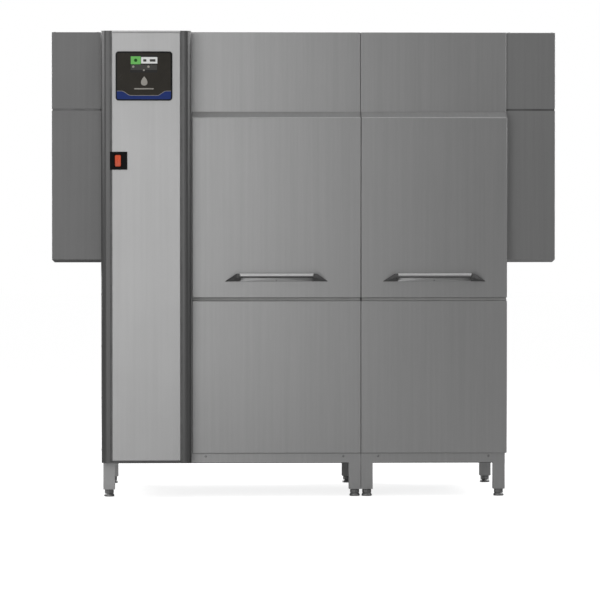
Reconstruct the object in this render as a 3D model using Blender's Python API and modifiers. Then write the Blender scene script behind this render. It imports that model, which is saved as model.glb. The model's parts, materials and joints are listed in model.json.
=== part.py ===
"""Rack-conveyor commercial dishwasher: racks run from the entry side (+X) to the exit side (-X).

Metres, +Z up, the front faces -Y, the floor is Z = 0, and the origin is the middle of the footprint.
"""

import math

import bmesh
import bpy
from mathutils import Vector

# Overall sizes
wash_width = 0.9975        # wash and rinse module, on the exit side
prewash_width = 0.5615     # prewash module, on the entry side
cowl_length = 0.190        # splash cowl at each end
body_depth = 0.790         # door face to rear panel
column_proud = 0.0855      # column lip ahead of the door face
display_proud = 0.0045     # display face ahead of the column lip

# Heights, stacked from the floor
foot_height = 0.0272
leg_height = 0.1008
frame_height = 0.038
panel_height = 0.587
door_gap = 0.012
door_height = 0.714
hood_height = 0.306

# Clearances
touch = 0.0003             # between pieces that rest on each other
module_gap = 0.001
slide_gap = 0.005          # door back to hood front
door_side_gap = 0.002
overcut = 0.01             # how far a cutter runs past what it cuts

# Sheet metal
sheet = 0.0015
tank_sheet = 0.002
fold = 0.0025              # outside radius of a folded edge
panel_return = 0.024       # depth of a panel's folded sides
sill_setback = 0.010       # door sill on top of a lower panel, behind its face

# Base and feet
rail_width = 0.045
channel_wall = 0.003       # the frame's rails are channels open below
leg_size = 0.045
leg_wall = 0.003
leg_insert = 0.012
frame_setback = 0.012      # frame front behind the door face
frame_end_inset = 0.0065   # frame's outer end inside the body's end
frame_rear_inset = 0.052
stem_radius = 0.008
stem_length = 0.085
stem_clearance = 0.001
foot_neck_radius = 0.0175
foot_pad_radius = 0.020
foot_pad_height = 0.012
foot_chamfer = 0.0015

# Doors, posts and handles
door_depth = 0.040
door_slope = 0.023         # how far the sloped top edge falls towards the front
post_width = 0.028
post_depth = 0.029
post_wall = 0.003          # the posts are channels open to the doors
post_gap = 0.0013
handle_length = 0.395      # over the brackets
handle_bar_length = 0.283
handle_bar_radius = 0.0095
handle_standoff = 0.035    # door face to the bar's middle
handle_rise = 0.086        # door bottom to the bar's middle
bracket_foot_height = 0.021
bracket_drop = 0.0245      # bar middle to the bracket's flat underside
bracket_head_length = 0.011
bracket_edge = 0.0015
weight_width = 0.100
weight_depth = 0.022
weight_height = 0.400
weight_bottom = 0.980
weight_rear_inset = 0.040  # rear panel face to the back of a counterweight

# Control column
column_width = 0.344
column_back_gap = 0.001     # to the hood's front
column_inset = 0.002
column_drop = 0.030        # below the top of the base frame
column_corner = 0.026
column_lip = 0.008
column_groove = 0.0075
column_sheet = 0.002
column_top_wall = 0.004
column_panel_recess = 0.002
column_panel_drop = 0.004
display_width = 0.216
display_height = 0.187
display_corner = 0.012
display_rise = 1.519       # display's lower edge above the floor
display_offset = -0.008    # display's middle from the column's middle
display_thickness = 0.0062
display_box = (0.140, 0.022, 0.110)
switch_width = 0.066
switch_height = 0.068
switch_plate = 0.004
switch_body = (0.048, 0.026, 0.054)
switch_body_inset = 0.0115  # plate's left edge to the body, which clears the panel's fold
rocker_offset = -0.0026     # rocker's middle from the plate's middle
switch_middle = 1.290
rocker_width = 0.0224
rocker_height = 0.0426
rocker_depth = 0.012
rocker_dip = 0.0035
rocker_sink = 0.0022        # rocker's middle plane below the switch plate
rocker_clearance = 0.0015
rocker_tilt = math.radians(10)
plate_bottom = 0.500
plate_height = 0.900
plate_side_gap = 0.047      # column side to the electrical plate
plate_setback = 0.030       # column back to the electrical plate
module_side_gap = 0.025
module_rows = (             # height and depth of each row of switchgear
    (0.090, 0.045),
    (0.060, 0.050),
    (0.110, 0.040),
)
module_bottom = 0.060
module_pitch = 0.270

# Splash cowls
cowl_front_setback = 0.015  # behind the hood front
cowl_rear_inset = 0.030
cowl_bottom = 0.900
cowl_lower_height = 0.5837
cowl_gap = 0.0078
cowl_hem = 0.010            # the lower cowl's bottom edge, folded inwards at 45 degrees
cowl_portal_front = 0.010   # portal past the tunnel at the front
cowl_portal_side = 0.030    # portal past the tunnel at the rear and the top

# Tunnel and conveyor
tunnel_setback = 0.055      # hood front to the tunnel
tunnel_width = 0.590        # a 500 mm rack with its clearance
tunnel_bottom = 0.840
tunnel_height = 0.495
rail_size = 0.030
rail_wall = 0.003
rail_rise = 0.045           # rail's top above the tunnel's lower edge
carriage_width = 0.440
carriage_bar = 0.020
carriage_height = 0.012
carriage_rise = 0.018       # above the tunnel's lower edge
carriage_windows = 4
carriage_end_gap = 0.110    # carriage end to the inside of the exit end panel
carriage_entry_gap = 0.045
pawl_height = 0.024
pawl_length = 0.030
pawl_thickness = 0.006
pawl_pitch = 0.250
pawl_start = 0.175          # carriage end to the first pawl

# Tanks, pumps and boiler
tank_depth = 0.345
tank_drop = 0.055           # tank's rim below the tunnel
tank_front_overhang = 0.012 # tank ahead of the tunnel
tank_rear_overhang = 0.022
tank_side_gap = 0.030
tank_corner = 0.012
rinse_zone = 0.340          # exit end panel to the wash tank
plate_sheet = 0.004
plate_rear_gap = 0.002      # plate to the frame's rear face
support_half = 0.010        # half the thickness of a leg or saddle
sink = 0.001                # how far a joined piece reaches into its plate
pump_radius = 0.075
pump_length = 0.150
pump_motor_radius = 0.060
pump_motor_length = 0.170
pump_axis_height = 0.100    # above its mounting plate
pump_pipe_radius = 0.025
pump_wall = 0.005
boiler_radius = 0.120
boiler_height = 0.460
boiler_dome = 0.020
boiler_rise = 0.030
boiler_wall = 0.003
boiler_drain_radius = 0.012

# Spray arms: pipes across the tunnel on a header at the rear
arm_pipe_radius = 0.012
arm_header_radius = 0.016
lower_arm_drop = 0.030      # below the tunnel
upper_arm_rise = 0.055      # above the tunnel
arm_front_gap = 0.035       # tunnel front to the pipes' ends
arm_header_gap = 0.022      # header's middle to the tunnel rear
nozzle_radius = 0.006
nozzle_length = 0.010
nozzle_pitch = 0.150
arm_zones = (                # exit end panel to the arm, arm length and number of pipes
    ("rinse_arm", 0.110, 0.190, 2),
    ("wash_arm", 0.370, 0.5675, 4),
    ("prewash_arm", 1.0585, 0.4015, 3),
)

# Curtains
curtain_thickness = 0.003
curtain_clearance = 0.010
curtain_rise = 0.065        # above the tunnel's lower edge
curtain_rod = 0.006
curtain_inset = 0.018       # end panel's inside to the curtain's middle
strip_count = 6
slit_width = 0.003
slit_top = 0.060            # below the rod

# Drive gearmotor
gearbox = (0.060, 0.120, 0.070)
gearmotor_end_gap = 0.038   # end panel's outside to the gearbox
gearmotor_clearance = 0.0045
motor_radius = 0.028
motor_length = 0.130
crank_radius = 0.028
crank_height = 0.006

# Connections: drain, water inlet and cable gland under their own plate
connection_width = 0.075
connection_gap = 0.008      # to the frame's rail
connection_reach = 0.050    # below the plate
connection_wall = 0.003
connection_stubs = (        # distance from the frame's rear, and radius
    (0.080, 0.025),
    (0.170, 0.0135),
    (0.250, 0.016),
)

# Derived planes
half_width = (wash_width + module_gap + prewash_width) / 2
left = -half_width
right = half_width
wash_right = left + wash_width
prewash_left = wash_right + module_gap
rear = (body_depth + column_proud + display_proud) / 2
door_front = rear - body_depth
door_back = door_front + door_depth
column_front = door_front - column_proud
display_front = column_front - display_proud
hood_front = door_back + slide_gap
frame_bottom = foot_height + leg_height
frame_top = frame_bottom + frame_height
frame_front = door_front + frame_setback
frame_rear = rear - frame_rear_inset
panel_top = frame_top + panel_height
door_bottom = panel_top + door_gap
door_top = door_bottom + door_height
hood_top = door_top + hood_height
end_top = door_top - touch
column_left = left + column_inset
column_right = column_left + column_width
column_back = hood_front - column_back_gap
column_bottom = frame_top - column_drop
column_middle = (column_left + column_right) / 2
panel_inset = column_corner + column_lip + column_groove
column_panel_front = column_front + column_panel_recess
front_left = column_right + door_side_gap
post_front = door_back + post_gap
post_back = post_front + post_depth
tunnel_front = hood_front + tunnel_setback
tunnel_rear = tunnel_front + tunnel_width
tunnel_middle = (tunnel_front + tunnel_rear) / 2
tunnel_top = tunnel_bottom + tunnel_height
tank_top = tunnel_bottom - tank_drop
tank_bottom = tank_top - tank_depth
carriage_bottom = tunnel_bottom + carriage_rise

finishes = {
    "steel": ((0.42, 0.42, 0.42), 1.0, 0.34),
    "column": ((0.55, 0.55, 0.55), 1.0, 0.30),
    "profile": ((0.12, 0.12, 0.12), 0.6, 0.40),
    "bracket": ((0.05, 0.05, 0.05), 0.0, 0.50),
    "black": ((0.012, 0.012, 0.012), 0.0, 0.45),
    "display": ((0.03, 0.027, 0.022), 0.0, 0.20),
    "red": ((0.80, 0.07, 0.02), 0.0, 0.30),
    "rubber": ((0.05, 0.09, 0.13), 0.0, 0.60),
    "motor": ((0.06, 0.12, 0.20), 0.2, 0.45),
    "foot": ((0.14, 0.14, 0.14), 0.3, 0.50),
}


def start():
    """Empties the scene and makes the two collections."""
    for item in list(bpy.data.objects):
        bpy.data.objects.remove(item)
    made = []
    for name in ("commercial_dishwasher", "cutters"):
        group = bpy.data.collections.new(name)
        bpy.context.scene.collection.children.link(group)
        made.append(group)
    return made


parts, cutters = start()


def paint(obj, finish):
    colour, metallic, roughness = finishes[finish]
    material = bpy.data.materials.new(obj.name)
    material.use_nodes = True
    shader = material.node_tree.nodes["Principled BSDF"]
    shader.inputs["Base Color"].default_value = (*colour, 1)
    shader.inputs["Metallic"].default_value = metallic
    shader.inputs["Roughness"].default_value = roughness
    obj.data.materials.append(material)


def add(name, bm, middle, finish=None):
    """Makes an object of bm at middle: a part with a finish, or a hidden cutter without one."""
    mesh = bpy.data.meshes.new(name)
    bm.to_mesh(mesh)
    bm.free()
    obj = bpy.data.objects.new(name, mesh)
    obj.location = middle
    if finish:
        parts.objects.link(obj)
        paint(obj, finish)
    else:
        cutters.objects.link(obj)
        obj.hide_render = True
        obj.display_type = "WIRE"
    return obj


def cube(low, high):
    """A closed box about its own middle, and that middle."""
    size = Vector(high) - Vector(low)
    bm = bmesh.new()
    bmesh.ops.create_cube(bm, size=1)
    bmesh.ops.scale(bm, vec=size, verts=bm.verts)
    return bm, (Vector(low) + Vector(high)) / 2


def block(name, low, high, finish=None):
    bm, middle = cube(low, high)
    return add(name, bm, middle, finish)


def rod(name, start_at, end_at, radius, finish=None, sides=16):
    """A cylinder between two points."""
    start_at, end_at = Vector(start_at), Vector(end_at)
    along = end_at - start_at
    bm = bmesh.new()
    bmesh.ops.create_cone(bm, cap_ends=True, segments=sides, radius1=radius, radius2=radius,
                          depth=along.length)
    bmesh.ops.rotate(bm, verts=bm.verts, matrix=along.to_track_quat("Z", "Y").to_matrix())
    return add(name, bm, (start_at + end_at) / 2, finish)


def turned(name, profile, middle, finish, steps=20):
    """A solid turned about Z: profile runs from the axis at the top, down the outside, to the axis."""
    bm = bmesh.new()
    verts = [bm.verts.new((radius, 0, height)) for radius, height in profile]
    for upper, lower in zip(verts, verts[1:]):
        bm.edges.new((upper, lower))
    obj = add(name, bm, middle, finish)
    screw = obj.modifiers.new("turn", "SCREW")
    screw.steps = screw.render_steps = steps
    screw.use_merge_vertices = True
    screw.merge_threshold = 0.0001
    return obj


def round_edges(obj, radius, segments=2, angle=30):
    bevel = obj.modifiers.new("fold", "BEVEL")
    bevel.width = radius
    bevel.segments = segments
    bevel.limit_method = "ANGLE"
    bevel.angle_limit = math.radians(angle)


def thicken(obj, wall):
    solid = obj.modifiers.new("sheet", "SOLIDIFY")
    solid.thickness = wall
    solid.offset = -1
    solid.use_even_offset = True


def pan(name, low, high, missing, wall, finish, edge=fold):
    """A folded sheet box between two corners, without the sides that face the missing directions."""
    bm, middle = cube(low, high)
    gone = [face for face in bm.faces if any(face.normal.dot(Vector(way)) > 0.9 for way in missing)]
    bmesh.ops.delete(bm, geom=gone, context="FACES")
    obj = add(name, bm, middle, finish)
    round_edges(obj, edge)
    thicken(obj, wall)
    return obj


def combine(obj, other, operation):
    step = obj.modifiers.new(other.name, "BOOLEAN")
    step.operation = operation
    step.object = other
    step.solver = "EXACT"


def cut(obj, low, high):
    combine(obj, block("cut_" + obj.name, low, high), "DIFFERENCE")


def join(obj, low, high):
    combine(obj, block("join_" + obj.name, low, high), "UNION")


def join_rod(obj, start_at, end_at, radius, sides=12):
    combine(obj, rod("join_" + obj.name, start_at, end_at, radius, sides=sides), "UNION")


def cut_rod(obj, start_at, end_at, radius, sides=12):
    combine(obj, rod("cut_" + obj.name, start_at, end_at, radius, sides=sides), "DIFFERENCE")


front, back = (0, -1, 0), (0, 1, 0)
leftward, rightward = (-1, 0, 0), (1, 0, 0)
up, down = (0, 0, 1), (0, 0, -1)


def leg_places(low_x, high_x):
    """The four leg middles of one base frame, with their names."""
    inset = leg_size / 2 + touch
    front_y = frame_front + inset
    back_y = frame_rear - inset
    return {
        "front_left": (low_x + inset, front_y),
        "front_right": (high_x - inset, front_y),
        "rear_left": (low_x + inset, back_y),
        "rear_right": (high_x - inset, back_y),
    }


def base_frame(module, low_x, high_x, places):
    """A welded ring of channel with four square legs, each with a bored insert at its foot."""
    frame = block("base_frame_" + module, (low_x, frame_front, frame_bottom),
                  (high_x, frame_rear, frame_top), "steel")
    cut(frame, (low_x + rail_width, frame_front + rail_width, frame_bottom - overcut),
        (high_x - rail_width, frame_rear - rail_width, frame_top + overcut))
    half = leg_size / 2
    reach = leg_size + channel_wall
    inner = rail_width - channel_wall
    top = frame_top - channel_wall
    for low_y in (frame_front, frame_rear - rail_width):
        cut(frame, (low_x + reach, low_y + channel_wall, frame_bottom - overcut),
            (high_x - reach, low_y + inner, top))
    for side_x in (low_x, high_x - rail_width):
        cut(frame, (side_x + channel_wall, frame_front + reach, frame_bottom - overcut),
            (side_x + inner, frame_rear - reach, top))
    for x, y in places.values():
        join(frame, (x - half, y - half, foot_height + touch), (x + half, y + half, frame_bottom + half / 2))
    hollow = half - leg_wall
    for x, y in places.values():
        cut(frame, (x - hollow, y - hollow, foot_height + leg_insert),
            (x + hollow, y + hollow, frame_bottom))
        cut_rod(frame, (x, y, foot_height - overcut), (x, y, foot_height + leg_insert + overcut),
                stem_radius + stem_clearance)


def foot(name, x, y):
    """An adjustable foot: flared pad, neck up to the leg and a stem inside it."""
    flare = foot_pad_height
    profile = [
        (0, foot_height + stem_length),
        (stem_radius, foot_height + stem_length),
        (stem_radius, foot_height),
        (foot_neck_radius, foot_height),
        (foot_neck_radius, flare + foot_chamfer),
        (foot_pad_radius, flare - foot_chamfer),
        (foot_pad_radius, foot_chamfer),
        (foot_pad_radius - foot_chamfer, 0),
        (0, 0),
    ]
    turned(name, profile, (x, y, 0), "foot", steps=16)


def base():
    for module, low_x, high_x in (("wash", left + frame_end_inset, wash_right),
                                  ("prewash", prewash_left, right - frame_end_inset)):
        places = leg_places(low_x, high_x)
        base_frame(module, low_x, high_x, places)
        for corner, (x, y) in places.items():
            foot(f"foot_{module}_{corner}", x, y)


def enclosure():
    """Front and rear panels, end panels with the tunnel openings, and the hoods."""
    low_z = frame_top + touch
    for module, low_x, front_x, high_x in (("wash", left, front_left, wash_right),
                                           ("prewash", prewash_left, prewash_left, right)):
        panel = pan("lower_front_panel_" + module, (front_x, door_front, low_z),
                    (high_x, door_front + panel_return, panel_top), [back], sheet, "steel")
        join(panel, (front_x + fold, door_front + sill_setback, panel_top - sheet / 2),
             (high_x - fold, door_front + panel_return - fold, door_bottom - touch))
        pan("rear_panel_" + module, (low_x, rear - panel_return, low_z), (high_x, rear, end_top),
            [front], sheet, "steel")
        pan("hood_" + module, (low_x, hood_front, door_top), (high_x, rear, hood_top), [down],
            sheet, "steel")
    end_rear = rear - panel_return - touch
    ends = (
        ("left", left, left + panel_return, hood_front, rightward),
        ("right", right - panel_return, right, post_back + touch, leftward),
    )
    for side, low_x, high_x, front_y, inside in ends:
        panel = pan("end_panel_" + side, (low_x, front_y, low_z), (high_x, end_rear, end_top),
                    [inside], sheet, "steel")
        cut(panel, (low_x - overcut, tunnel_front, tunnel_bottom), (high_x + overcut, tunnel_rear, tunnel_top))


def posts():
    """Four front posts from the base frame to the hood, grooved towards the doors they guide."""
    places = {
        "wash_left": front_left,
        "wash_right": wash_right - post_width,
        "prewash_left": prewash_left,
        "prewash_right": right - post_width,
    }
    for name, x in places.items():
        post = block("door_post_" + name, (x, post_front, frame_top + touch),
                     (x + post_width, post_back, end_top), "steel")
        middle = x + post_width / 2
        half_groove = post_width / 2 - post_wall
        cut(post, (middle - half_groove, post_front - overcut, frame_top - overcut),
            (middle + half_groove, post_back - post_wall, end_top + overcut))


def door(module, low_x, high_x):
    """A door pan whose top edge slopes down to the front, with its handle and its counterweight."""
    bm, middle = cube((low_x, door_front, door_bottom), (high_x, door_back, door_top))
    for vert in bm.verts:
        if vert.co.y < 0 and vert.co.z > 0:
            vert.co.z -= door_slope
    gone = [face for face in bm.faces if face.normal.y > 0.9]
    bmesh.ops.delete(bm, geom=gone, context="FACES")
    panel = add("door_" + module, bm, middle, "steel")
    round_edges(panel, fold, angle=15)
    thicken(panel, sheet)
    handle(module, (low_x + high_x) / 2)
    weight_rear = rear - weight_rear_inset
    weight_x = (low_x + high_x - weight_width) / 2
    block("counterweight_" + module, (weight_x, weight_rear - weight_depth, weight_bottom),
          (weight_x + weight_width, weight_rear, weight_bottom + weight_height), "profile")


def handle(module, x):
    """A round bar between two wedge brackets that run out and down to a tip on the door."""
    bar_y = door_front - handle_standoff
    bar_z = door_bottom + handle_rise
    half_bar = handle_bar_length / 2
    rod("handle_bar_" + module, (x - half_bar, bar_y, bar_z), (x + half_bar, bar_y, bar_z),
        handle_bar_radius, "steel", sides=20)
    inner = half_bar + touch
    outer = handle_length / 2
    underside = bar_z - bracket_drop
    for side, way in (("left", -1), ("right", 1)):
        bm, middle = cube((x + min(way * inner, way * outer), bar_y - handle_bar_radius, underside),
                          (x + max(way * inner, way * outer), door_front - touch,
                           underside + bracket_foot_height))
        for vert in bm.verts:
            at_bar = vert.co.y < 0
            at_tip = vert.co.x * way > 0
            upper = vert.co.z > 0
            if at_bar:
                vert.co.z = bar_z - middle.z + (handle_bar_radius if upper else -handle_bar_radius)
            if at_bar and at_tip:
                vert.co.x = x + way * (inner + bracket_head_length) - middle.x
            if upper and at_tip and not at_bar:
                vert.co.z = underside + fold - middle.z
        bracket = add(f"handle_bracket_{module}_{side}", bm, middle, "bracket")
        round_edges(bracket, bracket_edge, segments=1)


def doors():
    door("wash", front_left, wash_right - touch)
    door("prewash", prewash_left + touch, right)


def column_shell():
    """The housing: one folded sheet with rounded front corners, open at the back, and its front panel."""
    bm, middle = cube((column_left, column_front, column_bottom), (column_right, column_back, hood_top))
    gone = [face for face in bm.faces if face.normal.y > 0.9]
    bmesh.ops.delete(bm, geom=gone, context="FACES")
    upright = [edge for edge in bm.edges if all(vert.co.y < 0 for vert in edge.verts)
               and abs(edge.verts[0].co.z - edge.verts[1].co.z) > column_width]
    bmesh.ops.bevel(bm, geom=upright, offset=column_corner, segments=6, profile=0.5, affect="EDGES")
    housing = add("column_housing", bm, middle, "profile")
    thicken(housing, column_sheet)
    opening = column_corner + column_lip
    cut(housing, (column_left + opening, column_front - overcut, column_bottom + column_panel_drop),
        (column_right - opening, column_front + column_corner, hood_top - column_top_wall))
    cut(housing, (column_left - overcut, frame_front - touch, column_bottom - overcut),
        (column_right + overcut, column_back + overcut, frame_top + touch))
    panel = pan("column_front_panel",
                (column_left + panel_inset, column_panel_front, column_bottom + 2 * column_panel_drop),
                (column_right - panel_inset, column_panel_front + panel_return,
                 hood_top - 1.5 * column_top_wall),
                [back], sheet, "column")
    return panel


def display(panel):
    """The display: a rounded black fascia with an electronics box through the panel."""
    high = display_rise + display_height
    middle_x = column_middle + display_offset
    bm, middle = cube((middle_x - display_width / 2, display_front, display_rise),
                      (middle_x + display_width / 2, display_front + display_thickness, high))
    corners = [edge for edge in bm.edges if abs(edge.verts[0].co.y - edge.verts[1].co.y) > touch]
    bmesh.ops.bevel(bm, geom=corners, offset=display_corner, segments=5, profile=0.5, affect="EDGES")
    fascia = add("control_display", bm, middle, "display")
    box_x, box_y, box_z = (size / 2 for size in display_box)
    middle_z = display_rise + display_height / 2
    inside = display_front + display_thickness
    join(fascia, (middle_x - box_x, inside - 2 * sink, middle_z - box_z),
         (middle_x + box_x, inside + 2 * box_y, middle_z + box_z))
    gap = stem_clearance
    cut(panel, (middle_x - box_x - gap, column_front - overcut, middle_z - box_z - gap),
        (middle_x + box_x + gap, column_panel_front + overcut, middle_z + box_z + gap))


def switch(panel):
    """The main switch: a square plate with a body through the panel, and a rocker tilted to on."""
    low_x = column_left + panel_inset - column_groove
    middle_x = low_x + switch_width / 2 + rocker_offset
    plate_back = column_panel_front - touch
    plate_front = plate_back - switch_plate
    housing = block("switch_housing", (low_x, plate_front, switch_middle - switch_height / 2),
                    (low_x + switch_width, plate_back, switch_middle + switch_height / 2), "black")
    body_low = low_x + switch_body_inset
    body_high = body_low + switch_body[0]
    half_body = switch_body[2] / 2
    join(housing, (body_low, plate_back - sink, switch_middle - half_body),
         (body_high, plate_back + switch_body[1], switch_middle + half_body))
    gap = stem_clearance
    cut(panel, (body_low - gap, column_front - overcut, switch_middle - half_body - gap),
        (body_high + gap, column_panel_front + overcut, switch_middle + half_body + gap))
    half_x = rocker_width / 2
    half_z = rocker_height / 2
    gap = rocker_clearance
    pivot_y = plate_front + rocker_depth / 2 + rocker_sink
    cut(housing, (middle_x - half_x - gap, plate_front - overcut, switch_middle - half_z - gap),
        (middle_x + half_x + gap, pivot_y + rocker_depth, switch_middle + half_z + gap))
    bm, _ = cube((-half_x, -rocker_depth / 2, -half_z), (half_x, rocker_depth / 2, half_z))
    bmesh.ops.bisect_plane(bm, geom=bm.verts[:] + bm.edges[:] + bm.faces[:], plane_co=(0, 0, 0),
                           plane_no=up)
    for vert in bm.verts:
        if abs(vert.co.z) < touch and vert.co.y < 0:
            vert.co.y += rocker_dip
    rocker = add("switch_rocker", bm, (middle_x, pivot_y, switch_middle), "red")
    rocker.rotation_euler = (rocker_tilt, 0, 0)


def column():
    panel = column_shell()
    display(panel)
    switch(panel)
    low_x = column_left + plate_side_gap
    high_x = column_right - plate_side_gap
    plate_front = column_back - plate_setback
    plate = block("electrical_plate", (low_x, plate_front, plate_bottom),
                  (high_x, plate_front + plate_sheet, plate_bottom + plate_height), "column")
    for row, (height, deep) in enumerate(module_rows):
        low_z = plate_bottom + module_bottom + row * module_pitch
        join(plate, (low_x + module_side_gap, plate_front - deep, low_z),
             (high_x - module_side_gap, plate_front + plate_sheet / 2, low_z + height))


def lower_cowl(name, low, high, inner):
    """A sheet box open above, below and at its inner end, with its bottom edge folded inwards."""
    bm, middle = cube(low, high)
    gone = [face for face in bm.faces if abs(face.normal.z) > 0.9 or face.normal.dot(Vector(inner)) > 0.9]
    bmesh.ops.delete(bm, geom=gone, context="FACES")
    fold_height = low[2] + cowl_hem - middle.z
    bmesh.ops.bisect_plane(bm, geom=bm.verts[:] + bm.edges[:] + bm.faces[:], plane_co=(0, 0, fold_height),
                           plane_no=up)
    for vert in bm.verts:
        if vert.co.z < fold_height - touch:
            vert.co.y -= math.copysign(cowl_hem, vert.co.y)
            if vert.co.x * inner[0] < 0:
                vert.co.x += cowl_hem * inner[0]
    obj = add(name, bm, middle, "steel")
    round_edges(obj, fold)
    thicken(obj, sheet)
    return obj


def cowls():
    """The splash cowls: an upper box open below, and a lower box open above and below with a portal."""
    front_y = hood_front + cowl_front_setback
    back_y = rear - cowl_rear_inset
    cowl_split = cowl_bottom + cowl_lower_height
    for side, low_x, high_x, inner in (("exit", left - cowl_length, left - touch, rightward),
                                       ("entry", right + touch, right + cowl_length, leftward)):
        pan("cowl_upper_" + side, (low_x, front_y, cowl_split + cowl_gap), (high_x, back_y, hood_top),
            [down, inner], sheet, "steel")
        lower = lower_cowl("cowl_lower_" + side, (low_x, front_y, cowl_bottom), (high_x, back_y, cowl_split),
                           inner)
        end_x = low_x if side == "exit" else high_x
        reach = cowl_hem + overcut
        cut(lower, (end_x - reach, tunnel_front - cowl_portal_front, cowl_bottom - overcut),
            (end_x + reach, tunnel_rear + cowl_portal_side, tunnel_top + cowl_portal_side))


def tanks():
    low_wash = left + rinse_zone
    for name, low_x, high_x in (("wash_tank", low_wash, wash_right - tank_side_gap),
                                ("prewash_tank", prewash_left + tank_side_gap, right - tank_side_gap)):
        pan(name, (low_x, tunnel_front - tank_front_overhang, tank_bottom),
            (high_x, tunnel_rear + tank_rear_overhang, tank_top), [up], tank_sheet, "steel", edge=tank_corner)


def cross_plate(name, low_x, high_x, finish):
    """A mounting plate that lies on the front and rear rails of the base frame."""
    return block(name, (low_x, frame_front + rail_width / 2, frame_top + touch),
                 (high_x, frame_rear - plate_rear_gap, frame_top + touch + plate_sheet), finish)


def pump(name, x):
    """A centrifugal pump: volute and motor in line along Y, with a suction pipe up to the tank."""
    plate_top = frame_top + touch + plate_sheet
    axis = plate_top + pump_axis_height
    obj = cross_plate(name, x - pump_radius, x + pump_radius, "motor")
    volute_back = pump_length / 2
    join_rod(obj, (x, -volute_back, axis), (x, volute_back / 3, axis), pump_radius, sides=20)
    join_rod(obj, (x, 0, axis), (x, volute_back / 3 + pump_motor_length, axis), pump_motor_radius, sides=20)
    pipe_y = -volute_back / 2
    join_rod(obj, (x, pipe_y, axis), (x, pipe_y, tank_bottom - touch), pump_pipe_radius)
    cut_rod(obj, (x, pump_wall - volute_back, axis), (x, -pump_wall, axis), pump_radius - pump_wall, sides=20)
    cut_rod(obj, (x, pipe_y, axis), (x, pipe_y, tank_bottom + overcut), pump_pipe_radius - pump_wall)
    for y in (-volute_back / 2, pump_motor_length * 0.8):
        join(obj, (x - pump_radius / 2, y - support_half, plate_top - sink),
             (x + pump_radius / 2, y + support_half, axis))


def boiler():
    """The booster boiler: a hollow cylinder with a drain hole, on four short legs over a cross plate."""
    x = left + rinse_zone / 2
    y = tunnel_middle
    plate_top = frame_top + touch + plate_sheet
    low_z = plate_top + boiler_rise
    obj = cross_plate("boiler", x - boiler_radius, x + boiler_radius, "steel")
    reach = (boiler_radius - boiler_dome) / 2
    for step_x in (-reach, reach):
        for step_y in (-reach, reach):
            join(obj, (x + step_x - support_half, y + step_y - support_half, plate_top - sink),
                 (x + step_x + support_half, y + step_y + support_half, low_z + boiler_wall / 2))
    outer = boiler_radius
    inner = boiler_radius - boiler_wall
    top = boiler_height
    profile = [
        (0, top),
        (outer - boiler_dome, top - boiler_dome / 4),
        (outer, top - boiler_dome),
        (outer, boiler_dome),
        (outer - boiler_dome, 0),
        (boiler_drain_radius, 0),
        (boiler_drain_radius, boiler_wall),
        (inner - boiler_dome, boiler_wall),
        (inner, boiler_dome + boiler_wall),
        (inner, top - boiler_dome - boiler_wall),
        (0, top - boiler_dome - boiler_wall),
    ]
    shell = turned("join_boiler", profile, (x, y, low_z), "steel", steps=24)
    parts.objects.unlink(shell)
    cutters.objects.link(shell)
    shell.hide_render = True
    shell.display_type = "WIRE"
    combine(obj, shell, "UNION")


def connections():
    """The drain stub, the water inlet and the cable gland, which point down from one plate."""
    high_x = wash_right - rail_width - connection_gap
    low_x = high_x - connection_width
    obj = cross_plate("connection_plate", low_x, high_x, "steel")
    x = (low_x + high_x) / 2
    top = frame_top + touch + plate_sheet
    for rear_gap, radius in connection_stubs:
        y = frame_rear - rear_gap
        join_rod(obj, (x, y, top - sink), (x, y, top - connection_reach), radius, sides=16)
        cut_rod(obj, (x, y, top - 2 * sink), (x, y, top - connection_reach - overcut), radius - connection_wall,
                sides=16)


def spray_arm(name, low_x, high_x, height, pipes, aim):
    """Parallel pipes across the tunnel on one rear header; nozzles point up or down."""
    header_y = tunnel_rear - arm_header_gap
    obj = rod(name, (low_x, header_y, height), (high_x, header_y, height),
              arm_header_radius, "steel", sides=12)
    pitch = (high_x - low_x) / pipes
    for index in range(pipes):
        x = low_x + (index + 0.5) * pitch
        join_rod(obj, (x, tunnel_front + arm_front_gap, height), (x, header_y, height), arm_pipe_radius,
                 sides=10)
        for y in (tunnel_middle - nozzle_pitch, tunnel_middle, tunnel_middle + nozzle_pitch):
            join_rod(obj, (x, y, height), (x, y, height + aim * (arm_pipe_radius + nozzle_length)),
                     nozzle_radius, sides=6)


def spray_arms():
    for name, offset, length, pipes in arm_zones:
        low_x = left + offset
        spray_arm(name + "_lower", low_x, low_x + length, tunnel_bottom - lower_arm_drop, pipes, 1)
        spray_arm(name + "_upper", low_x, low_x + length, tunnel_top + upper_arm_rise, pipes, -1)


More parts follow.
